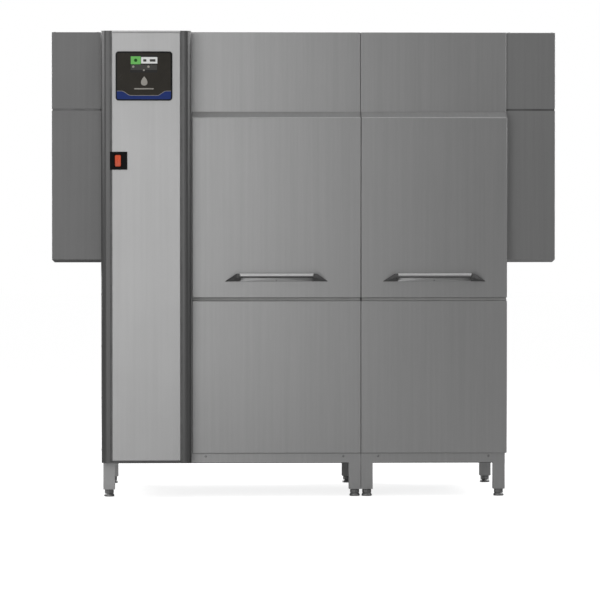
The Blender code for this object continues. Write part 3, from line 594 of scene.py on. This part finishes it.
def makeBar(module, middle, half):
    # the bar: a circle carried along X, its two end rows cut aslant, x = x + cut * height above the middle
    look = handleLook
    share = np.linspace(-1, 1, look["rows"])[:, None]
    circle = roundOutline(look["radius"], look["sides"])
    cut = look["endCut"] * (circle[:, 1] / look["radius"] - 1) / 2
    x = share * half[0] + np.where(np.abs(share) == 1, np.sign(share) * cut, 0)
    grid = solidGrid(x, circle[:, 0], circle[:, 1]) + middle
    makePiece(f"handleBar_{module}", [grid], "handleSteel", f"door_{module}",
              [f"handle_bar_{module}"])


def makeBarUnderShade(module, middle, half):
    # painted shade along the lower front of the bar: a dark plastic shell on an arc of the bar's own circle,
    # thickened outwards
    look = handleLook
    angle = np.linspace(look["underShadeFrom"], look["underShadeTo"], 10)
    arc = np.stack([np.cos(angle), np.sin(angle)], axis=-1)
    inner, outer = look["radius"] - look["underShadeSunk"], look["radius"] + look["underShadeThick"] / 2
    outline = np.concatenate([arc * inner, arc[::-1] * outer])
    reach = np.array((half[0] - look["endCut"] / 2, 0, 0))
    path = np.linspace(middle - reach, middle + reach, 4)
    makePiece(f"handleUnderShade_{module}", [sweepGrid(path, outline)], "bracketPlasticAndBarShade", f"door_{module}")


def makeBracket(module, side, way):
    # a wedge lofted from the bar's end to a tip on the door: the four corners of its section, in Y and Z,
    # slide in straight lines from the section at the bar to the section at the tip
    look = handleLook
    low, high, *_ = nodeFrame(f"handle_bracket_{module}_{side}")
    barZ = nodeFrame(f"handle_bar_{module}")[2][2]
    inner, outer = (low[0], high[0]) if way > 0 else (high[0], low[0])
    front, back, foot = low[1], high[1], low[2]
    under, over = barZ - look["radius"], barZ + look["radius"]
    head = inner + way * look["bracketHead"]
    near = np.array([(inner, front, under), (inner, front, over), (inner, back, foot + look["bracketFoot"]),
                     (inner, back, foot)])
    far = np.array([(head, front, under), (head, front, over), (outer, back, foot + look["tipHeight"]),
                    (outer, back, foot)])
    share = np.linspace(0, 1, 7)[:, None, None]
    corners = near * (1 - share) + far * share
    along = np.array([look["bracketCorner"], 1 - look["bracketCorner"]])[:, None]
    edges = corners[:, :, None] * (1 - along) + np.roll(corners, -1, axis=1)[:, :, None] * along
    piece = makePiece(f"handleWedge_{module}_{side}", [closedEnds(edges.reshape(len(corners), 8, 3))],
                      "bracketPlasticAndBarShade", f"door_{module}",
                      [f"handle_bracket_{module}_{side}"], 30)
    bevel = piece.modifiers.new("edge", "BEVEL")
    bevel.width = look["bracketEdge"] / 2
    bevel.segments = 2


def makeHandles():
    look = handleLook
    rivet, proud = look["rivet"], look["stripProud"]
    for module in modules:
        _, _, middle, half = nodeFrame(f"handle_bar_{module}")
        makeBar(module, middle, half)
        makeBarUnderShade(module, middle, half)
        for side, way in (("left", -1), ("right", 1)):
            makeBracket(module, side, way)
        door = nodeFrame(f"door_{module}")[0][1]
        foot = nodeFrame(f"handle_bracket_{module}_left")[0][2]
        size = (half[0], look["stripHigh"] / 2, look["stripCorner"])
        place = (middle[0], door, foot + look["stripHigh"] / 2)
        fitPlate(f"handleStrip_{module}", size, [(0, -seat), (0, proud / 2), (look["stripBevel"], proud)],
                 place, body=f"door_{module}")
        shoulder, crown = look["rivetHigh"]
        head = latheGrid([(rivet, -seat), (rivet, shoulder), (rivet * look["rivetTop"], crown)], 16)
        place = (middle[0], door, foot + rivet * look["rivetUp"])
        makePiece(f"handleRivet_{module}", [placed(head, place, frontFace)], "screwSteel", f"door_{module}")


footLook = {
    "pad": ((0.0185, 0), (0.0200, 0.0015), (0.0200, 0.0050), (0.0194, 0.0070), (0.015675, 0.0120)),
    "nut": ((0.01584, 0.0118), (0.0175, 0.0130), (0.0175, 0.0245), (0.015345, 0.0270)),
    "stem": 0.0080, "stemFrom": 0.0268, "stemTo": 0.1122, "stemRows": 240, "pitch": 0.0018,
    "threadDepth": 0.0006,
}


def makeFeet():
    # pad and neck: radius and height turned about Z, the neck flattened to eight sides; the stem's radius is
    # r - d (1 - cos(2 pi z / pitch - angle)) / 2, which is a screw thread
    look = footLook
    angle = turns(12)
    z = np.linspace(look["stemFrom"], look["stemTo"], look["stemRows"])[:, None]
    wave = np.cos(2 * math.pi * z / look["pitch"] - angle)
    radius = look["stem"] - look["threadDepth"] * (0.5 - 0.5 * wave)
    stem = solidGrid(radius * np.cos(angle), radius * np.sin(angle), z)
    grids = [latheGrid(look["pad"], 40), latheGrid(look["nut"], 48, facets=8), stem]
    for module in modules:
        for corner in ("front_left", "front_right", "rear_left", "rear_right"):
            name = f"foot_{module}_{corner}"
            low, _, middle, _ = nodeFrame(name)
            place = (middle[0], middle[1], low[2])
            foot = [placed(grid, place, topFace) for grid in grids]
            makePiece(f"adjuster_{module}_{corner}", foot, "footPlastic", name, [name])


columnLook = {"groove": 0.0075, "floorDepth": 0.0035, "floorThick": 0.002, "corner": 0.0002,
              "endGap": 0.005, "bottom": 0.008, "bottomRise": 0.0005, "capHigh": 0.0068, "capProud": 0.0004,
              "capCorner": 0.0006, "capSunk": 0.001, "capDown": 0.0002}


def makeColumnTrims():
    # the groove round the column's panel gets a floor in dark grey as painted shade, a dark strip under the
    # panel is painted shade of its bottom gap, and the panel's colour runs on over the top edge
    look = columnLook
    low, high, middle, half = nodeFrame("column_front_panel")
    shellLow, shellHigh, shellMiddle, shellHalf = nodeFrame("column_housing")
    floorY = low[1] + look["floorDepth"]
    strip = padGrid(look["groove"] / 2 + seat, shellHalf[2] - look["endGap"], look["corner"],
                    flat(look["floorThick"]))
    grids = [placed(strip, (x, floorY, shellMiddle[2]), frontFace)
             for x in (low[0] - look["groove"] / 2, high[0] + look["groove"] / 2)]
    bottom = padGrid(half[0], look["bottom"] / 2, look["corner"], flat(look["floorThick"]))
    height = low[2] - look["bottom"] / 2 + look["bottomRise"]
    grids.append(placed(bottom, (middle[0], floorY, height), frontFace))
    makePiece("panelGrooveShade", grids, "paintedShadeGrey", "cabinet")
    cap = padGrid(half[0], look["capHigh"] / 2, look["capCorner"],
                  [(0, -look["capSunk"]), (0, look["capProud"] / 2), (look["capProud"], look["capProud"])])
    place = (middle[0], shellLow[1], shellHigh[2] - look["capHigh"] / 2 - look["capDown"])
    makePiece("panelCap", [placed(cap, place, frontFace)], "panelSteel", "cabinet", sharp=20)


sealLook = {"inset": 0.003, "high": 0.0105, "thick": 0.003, "round": 0.001, "back": 0.010, "down": 0.0005}


def makeSeals():
    # a soft grey strip along the sill under each door, a rounded bar of small section
    look = sealLook
    for module in modules:
        low, high, middle, half = nodeFrame(f"lower_front_panel_{module}")
        size = (half[0] - look["inset"], look["high"] / 2, look["round"])
        steps = [(0, -seat)] + edgeSteps(look["thick"], look["round"])[1:]
        place = (middle[0], low[1] + look["back"], high[2] - look["high"] / 2 - look["down"])
        fitPlate(f"sillSeal_{module}", size, steps, place, finish="sealGrey")


screwLook = {"radius": 0.0048, "height": 0.0012, "shoulder": 0.5, "crown": 0.72, "socket": 0.0022,
             "socketFloor": 0.98, "socketDepth": 0.0009, "sides": 18}


def screwHeads(name, places, face):
    # low round heads with a hexagonal socket, one turned shape repeated at every place
    look = screwLook
    radius, height, socket = look["radius"], look["height"], look["socket"]
    outside = [(radius, -sunk), (radius, height * look["shoulder"]), (radius * look["crown"], height),
               (socket, height)]
    inside = [(socket, height), (socket * look["socketFloor"], height - look["socketDepth"])]
    head = latheGrid(outside, look["sides"])
    hole = latheGrid(inside, look["sides"], facets=6)
    grid = np.concatenate([head[:-1], hole[2:]])
    makePiece(name, [np.stack([placed(grid, place, face) for place in places])], "screwSteel")


def gridPlaces(across, upward, fixed, axis):
    # every pair of the two lists, on the plane where the given axis has the fixed value
    first, second = np.meshgrid(across, upward)
    columns = [first.ravel(), second.ravel()]
    columns.insert(axis, np.full(first.size, fixed))
    return np.column_stack(columns)


fixings = {"frameInset": 0.064, "washLeft": -0.379, "washRight": 0.150, "prewashLeft": 0.284, "edge": 0.012,
           "hoodEdge": 0.030, "frameDown": 0.011, "endDown": 0.700}


def makeFixings():
    look = fixings
    edge, hoodEdge = look["edge"], look["hoodEdge"]
    low, high, *_ = nodeFrame("base_frame_prewash")
    x = [look["washLeft"], look["washRight"], look["prewashLeft"], high[0] - look["frameInset"]]
    screwHeads("frameScrews", gridPlaces(x, [high[2] - look["frameDown"]], low[1], 1), frontFace)
    for module in modules:
        low, high, *_ = nodeFrame(f"rear_panel_{module}")
        x = np.linspace(low[0] + edge, high[0] - edge, 3)
        z = np.linspace(low[2] + edge, high[2] - edge, 5)
        screwHeads(f"rearScrews_{module}", gridPlaces(x, z, high[1], 1), rearFace)
        low, high, *_ = nodeFrame(f"hood_{module}")
        x = np.linspace(low[0] + hoodEdge, high[0] - hoodEdge, 4)
        y = [low[1] + hoodEdge, high[1] - hoodEdge]
        screwHeads(f"hoodScrews_{module}", gridPlaces(x, y, high[2], 2), topFace)
    for side, face in (("left", leftFace), ("right", rightFace)):
        low, high, *_ = nodeFrame(f"end_panel_{side}")
        y = [low[1] + edge, high[1] - edge]
        z = np.linspace(low[2] + edge, high[2] - look["endDown"], 4)
        fixed = low[0] if side == "left" else high[0]
        screwHeads(f"endScrews_{side}", gridPlaces(y, z, fixed, 0), face)
    for side in ("exit", "entry"):
        low, high, *_ = nodeFrame(f"cowl_upper_{side}")
        x = [low[0] + edge, high[0] - edge]
        y = np.linspace(low[1] + edge, high[1] - edge, 3)
        screwHeads(f"cowlScrews_{side}", gridPlaces(x, y, high[2], 2), topFace)


rearLook = {"inset": 0.070, "proud": 0.0012, "lower": 0.4, "bevel": 0.0008, "corner": 0.010, "bottom": 0.090,
            "height": 0.420, "seam": 0.0030, "seamProud": 0.0002, "slotHalf": 0.030, "slotHigh": 0.0022,
            "slotPitch": 0.014, "slotRows": 8, "slotSpread": 0.55, "slotTop": 0.060, "slotProud": 0.0002,
            "slotDraw": (0.001, 0.0001), "screwInset": 0.012}


def makeServiceCovers():
    # rounded plates low on the rear panels, over the pumps, each in a dark band that is painted shade of its
    # seam, and with rows of vent slots painted dark as the shade in their openings
    look = rearLook
    proud, reach, corner = look["proud"], look["seam"] / 2, look["corner"]
    draw, drawRise = look["slotDraw"]
    slot = padGrid(look["slotHalf"], look["slotHigh"], look["slotHigh"],
                   [(0, seat), (0, proud + look["slotProud"]), (draw, proud + drawRise)], 3)
    for module in modules:
        low, high, middle, half = nodeFrame(f"rear_panel_{module}")
        halfWide, halfHigh = half[0] - look["inset"], look["height"] / 2
        place = np.array((middle[0], high[1], low[2] + look["bottom"] + halfHigh))
        fitPlate(f"serviceCover_{module}", (halfWide, halfHigh, corner),
                 [(0, -seat), (0, proud * look["lower"]), (look["bevel"], proud)], place, rearFace)
        fitPlate(f"coverSeamShade_{module}", (halfWide + reach, halfHigh + reach, corner + reach),
                 [(0, -seat), (0, look["seamProud"])], place, rearFace, "paintedShadeGrey")
        x = place[0] + np.array([-1, 0, 1]) * halfWide * look["slotSpread"]
        z = place[2] + halfHigh - look["slotTop"] - np.arange(look["slotRows"]) * look["slotPitch"]
        slots = np.stack([placed(slot, spot, rearFace) for spot in gridPlaces(x, z, high[1], 1)])
        makePiece(f"ventSlotShades_{module}", [slots], "paintedShadeGrey")
        x = place[0] + np.array([-1, 1]) * (halfWide - look["screwInset"])
        z = place[2] + np.array([-1, 1]) * (halfHigh - look["screwInset"])
        screwHeads(f"coverScrews_{module}", gridPlaces(x, z, high[1] + proud / 2, 1), rearFace)


lipLook = {"inset": 0.0024, "high": 0.032, "thick": 0.0010, "corner": 0.0005, "doorGap": 0.0006,
           "doorBack": 0.0010, "doorThick": 0.012}


def makeLips():
    # a lip inside the walls of each cowl, behind the seam of its two pieces, painted dark as the seam's
    # shade, and one on the wash door's edge
    look = lipLook
    inset, thick, halfHigh, corner = look["inset"], look["thick"], look["high"] / 2, look["corner"]
    for side, face, way in (("exit", leftFace, -1), ("entry", rightFace, 1)):
        low, high, middle, half = nodeFrame(f"cowl_lower_{side}")
        seam = (high[2] + nodeFrame(f"cowl_upper_{side}")[0][2]) / 2
        across = padGrid(half[0] - inset - thick, halfHigh, corner, flat(thick))
        along = padGrid(half[1] - inset - thick, halfHigh, corner, flat(thick))
        end = (high[0] if way > 0 else low[0]) - way * inset
        grids = [placed(across, (middle[0], low[1] + inset, seam), frontFace),
                 placed(across, (middle[0], high[1] - inset, seam), rearFace),
                 placed(along, (end, middle[1], seam), face)]
        makePiece(f"cowlSeamShade_{side}", grids, "paintedShadeGrey")
    low, high, middle, half = nodeFrame("door_wash")
    gap = nodeFrame("door_prewash")[0][0] - high[0]
    place = (high[0] + gap / 2, low[1] + look["doorBack"], middle[2])
    fitPlate("doorLip", (gap / 2 - look["doorGap"], half[2] - look["high"], corner), flat(look["doorThick"]),
             place, body="door_wash")


stripLook = {"slide": 0.0006, "fixed": 0.0001, "deep": 0.036, "back": 0.0012, "corner": 0.0002, "leg": 0.046,
             "railHigh": 0.038, "railShadeLine": 0.0026, "railProud": 0.0003}


def makeStrips():
    # the column's edge strips beside the door and the lower panel, and a dark strip of painted shade along
    # the lower edge of the front rails
    look = stripLook
    start = nodeFrame("column_housing")[1][0] + look["fixed"]
    for name, node, gap in (("doorEdgeStrip", "door_wash", look["slide"]),
                            ("panelEdgeStrip", "lower_front_panel_wash", look["fixed"])):
        low, _, middle, half = nodeFrame(node)
        halfWide = (low[0] - gap - start) / 2
        place = (start + halfWide, low[1] + look["back"], middle[2])
        fitPlate(name, (halfWide, half[2], look["corner"]), flat(look["deep"]), place)
    for module in modules:
        low, high, middle, half = nodeFrame(f"base_frame_{module}")
        size = (half[0] - look["leg"], look["railShadeLine"] / 2, look["corner"])
        place = (middle[0], low[1], high[2] - look["railHigh"] + look["railShadeLine"] / 2)
        steps = [(0, -look["railProud"]), (0, look["railProud"])]
        # a dark strip under each front rail, painted shade of its lower edge
        fitPlate(f"railShadeLine_{module}", size, steps, place, finish="paintedShadeProfileSteel")


edgeLook = {"bead": 0.0026, "corner": 0.004, "railRise": 0.045, "rodDrop": 0.004, "filler": 0.0012,
            "fillerInside": 0.0006, "fillerReach": 0.002, "fillerEnds": 0.006, "fillerCorner": 0.0005}


def makeEdges():
    # a round bead on a closed rectangular path round each tunnel opening, and the sheet that closes the side
    # between the lower front panel and the door post
    look = edgeLook
    rail = nodeFrame("conveyor_rail_front")
    front, rear = rail[0][1], nodeFrame("conveyor_rail_rear")[1][1]
    bottom, top = rail[1][2] - look["railRise"], nodeFrame("curtain_exit")[1][2] + look["rodDrop"]
    path = loopPath((rear - front) / 2, (top - bottom) / 2, look["corner"])
    bead = sweepGrid(path, roundOutline(look["bead"], 10))
    for side, face, end in (("left", leftFace, 0), ("right", rightFace, 1)):
        place = (nodeFrame(f"end_panel_{side}")[end][0], (front + rear) / 2, (bottom + top) / 2)
        makePiece(f"tunnelBead_{side}", [placed(bead, place, face)], "innerSteel")
    _, high, middle, half = nodeFrame("lower_front_panel_prewash")
    halfDeep = (nodeFrame("door_post_prewash_right")[0][1] - high[1]) / 2
    size = (halfDeep + look["fillerReach"], half[2] - look["fillerEnds"], look["fillerCorner"])
    place = (high[0] - look["fillerInside"], high[1] + halfDeep, middle[2])
    fitPlate("sideFiller", size, flat(look["filler"]), place, rightFace)


curtainLook = {"strips": 7, "overlap": 0.006, "thickness": 0.0024, "wave": 0.0012, "phase": 1.7, "rod": 0.006,
               "rodShare": 0.92, "gap": 0.0012, "rows": 30, "roundFrom": 0.95, "roundShare": 0.35}


def makeCurtain(side):
    # strips: thin closed sheets across Y and Z, x = place + wave sin(2 pi v + phase) v, whose lower corners
    # are rounded by drawing the last rows in; every second strip hangs behind its neighbours
    look = curtainLook
    name = f"curtain_{side}"
    low, high, middle, _ = nodeFrame(name)
    top = high[2] - look["rod"]
    pitch = (high[1] - low[1]) / look["strips"]
    v = np.linspace(0, 1, look["rows"])[:, None]
    wrap = np.array([-1, -0.5, 0, 0.5, 1, 1, 0.5, 0, -0.5, -1])[None, :]
    face = np.array([1] * 5 + [-1] * 5)[None, :]
    draw = np.sqrt(1 - smoothRise(v, look["roundFrom"], 1.0) ** 2 * look["roundShare"])
    grids = []
    for index in range(look["strips"]):
        half = pitch / 2 + (look["overlap"] / 2 if 0 < index < look["strips"] - 1 else 0)
        centre = low[1] + (index + 0.5) * pitch
        y = np.clip(centre + wrap * half * draw, low[1], high[1])
        offset = (index % 2 - 0.5) * (look["thickness"] + look["gap"])
        bend = look["wave"] * np.sin(2 * math.pi * v + index * look["phase"]) * v
        x = middle[0] + offset + bend + face * look["thickness"] / 2
        z = top - v * (top - low[2])
        grids.append(solidGrid(x, y, z))
    makePiece(f"curtainStrips_{side}", grids, "curtainRubber", name, [name])
    ends = np.linspace((middle[0], low[1], top), (middle[0], high[1], top), 4)
    rod = sweepGrid(ends, roundOutline(look["rod"] * look["rodShare"]))
    makePiece(f"curtainRod_{side}", [rod], "innerSteel", name)


trayLook = {"ripple": 0.0012, "ridges": 26, "thickness": 0.0012, "rim": 0.006, "down": 0.030, "columns": 160}


def makeFilterTrays():
    # a corrugated strainer over each tank: z = level + ripple cos(2 pi ridges u), closed by its underside
    look = trayLook
    u = np.linspace(0, 1, look["columns"])[:, None]
    side = np.array([0, 1, 1, 0])[None, :]
    under = np.array([0, 0, 1, 1])[None, :] * look["thickness"]
    wave = look["ripple"] * np.cos(2 * math.pi * look["ridges"] * u)
    for name in ("wash_tank", "prewash_tank"):
        low, high, *_ = nodeFrame(name)
        x = low[0] + look["rim"] + u * (high[0] - low[0] - 2 * look["rim"])
        y = low[1] + look["rim"] + side * (high[1] - low[1] - 2 * look["rim"])
        grid = solidGrid(x, y, high[2] - look["down"] + wave - under)
        makePiece("strainer_" + name, [grid], "innerSteel", "cabinet")


motorLook = {"radius": 0.0604, "fins": 36, "ripple": 0.030, "start": 0.050, "length": 0.140, "axis": 0.104,
             "cap": ((0.06342, -0.002), (0.06342, 0.016), (0.05436, 0.022))}


def makeMotorFins():
    # cooling fins: the radius is r (1 + a) (1 + a cos(fins x angle)) round each pump motor
    look = motorLook
    profile = [(look["radius"] * (1 + look["ripple"]), height) for height in (0, look["length"])]
    fins = latheGrid(profile, look["fins"] * 4, look["fins"], look["ripple"])
    cap = latheGrid(look["cap"], 40)
    for module in modules:
        low, _, middle, _ = nodeFrame(f"{module}_pump")
        place = np.array((middle[0], look["start"], low[2] + look["axis"]))
        grids = [placed(fins, place, rearFace), placed(cap, place + (0, look["length"], 0), rearFace)]
        makePiece(f"motorFins_{module}", grids, "motorPaint", "cabinet")


nozzleLook = {"jet": ((0.0085, -0.006), (0.0085, 0.0004), (0.00425, 0.0012)), "offsets": (-0.150, 0.0, 0.150)}


def makeNozzles():
    # a hexagonal jet nut on every outlet of the spray pipes
    jet = latheGrid(nozzleLook["jet"], 24, facets=6)
    y = nodeFrame("transport_carriage")[2][1] + np.array(nozzleLook["offsets"])
    for zone, pipes in (("rinse", 2), ("wash", 4), ("prewash", 3)):
        for level, face, tip in (("lower", topFace, 1), ("upper", bottomFace, 0)):
            box = nodeFrame(f"{zone}_arm_{level}")
            x = box[0][0] + (np.arange(pipes) + 0.5) * (box[1][0] - box[0][0]) / pipes
            copies = np.stack([placed(jet, place, face) for place in gridPlaces(x, y, box[tip][2], 2)])
            makePiece(f"jets_{zone}_{level}", [copies], "screwSteel", "cabinet")


makeDisplay()
makeSwitch()
makeHandles()
print("display, switch and handles made")
makeColumnTrims()
makeSeals()
makeFeet()
makeFixings()
makeServiceCovers()
makeEdges()
makeLips()
makeStrips()
print("feet, fixings and covers made")
makeCurtain("exit")
makeCurtain("entry")
makeFilterTrays()
makeMotorFins()
makeNozzles()
print("inside pieces made")


studio = {
    "lens": 225.1, "distance": 14.4, "viewX": -0.4370, "viewZ": 1.158, "aimX": -0.0170, "aimZ": 0.7563,
    "background": 1.0, "ambient": 0.27, "floorSize": 60, "floorRough": 0.9, "floorGlow": 0.85, "clipEnd": 200,
}
# each light: its place, the point it faces, its two sides and its power
lights = {
    "keyPanel": ((-1.45, -3.75, 1.6), (-1.45, 0, 1.6), (2.6, 3.0), 28.5),
    "topLight": ((0.0, -0.5, 4.5), (0.0, 0.0, 1.5), (4.0, 3.0), 38),
    "sideLeft": ((-3.2, -0.6, 2.3), (0, -0.6, 2.3), (2.4, 1.4), 24),
    "sideRight": ((3.2, -0.6, 2.3), (0, -0.6, 2.3), (2.4, 1.4), 33.6),
    "rearLeft": ((-3.5, 3.5, 2.4), (0, 0, 0.9), (2.5, 2.5), 150),
    "rearRight": ((3.5, 3.0, 2.4), (0, 0, 0.9), (2.5, 2.5), 90),
}


def addLight(name, where, aim, size, power):
    data = bpy.data.lights.new(name, "AREA")
    data.shape = "RECTANGLE"
    data.size, data.size_y = size
    data.energy = power
    light = bpy.data.objects.new(name, data)
    light.location = where
    light.visible_camera = False
    light.rotation_euler = (Vector(aim) - Vector(where)).to_track_quat("-Z", "Y").to_euler()
    scene.collection.objects.link(light)


def makeFloor():
    bpy.ops.mesh.primitive_plane_add(size=studio["floorSize"], location=(0, 0, 0))
    floor = bpy.context.object
    floor.name = "floor"
    material, tree, shader = newMaterial("floorPaper")
    setInputs(shader, {"Base Color": (*grey(0.5), 1), "Roughness": studio["floorRough"],
                       "Emission Color": (1, 1, 1, 1)})
    direct = tree.nodes.new("ShaderNodeLightPath").outputs["Is Camera Ray"]
    glow = mathNode(tree, "MULTIPLY", direct, studio["floorGlow"])
    tree.links.new(glow, shader.inputs["Emission Strength"])
    floor.data.materials.append(material)


def makeWorld():
    # plain white where the camera looks past the machine, softer all round it for its reflections
    world = scene.world or bpy.data.worlds.new("studio")
    scene.world = world
    world.use_nodes = True
    tree = world.node_tree
    tree.nodes.clear()
    mix = tree.nodes.new("ShaderNodeMixShader")
    out = tree.nodes.new("ShaderNodeOutputWorld")
    path = tree.nodes.new("ShaderNodeLightPath")
    tree.links.new(path.outputs["Is Camera Ray"], mix.inputs[0])
    for slot, strength in ((1, studio["ambient"]), (2, studio["background"])):
        glow = tree.nodes.new("ShaderNodeBackground")
        setInputs(glow, {"Color": (1, 1, 1, 1), "Strength": strength})
        tree.links.new(glow.outputs[0], mix.inputs[slot])
    tree.links.new(mix.outputs[0], out.inputs[0])


def makeLights():
    for name, look in lights.items():
        addLight(name, *look)


def makeCamera():
    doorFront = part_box("door_wash")[0].y
    data = bpy.data.cameras.new("camera")
    data.lens = studio["lens"]
    data.clip_end = studio["clipEnd"]
    camera = bpy.data.objects.new("camera", data)
    camera.location = (studio["viewX"], doorFront - studio["distance"], studio["viewZ"])
    aim = Vector((studio["aimX"], doorFront, studio["aimZ"]))
    camera.rotation_euler = (aim - camera.location).to_track_quat("-Z", "Y").to_euler()
    scene.collection.objects.link(camera)
    scene.camera = camera
    scene.view_settings.view_transform = "Standard"


makeFloor()
makeWorld()
makeLights()
makeCamera()
print("studio placed")
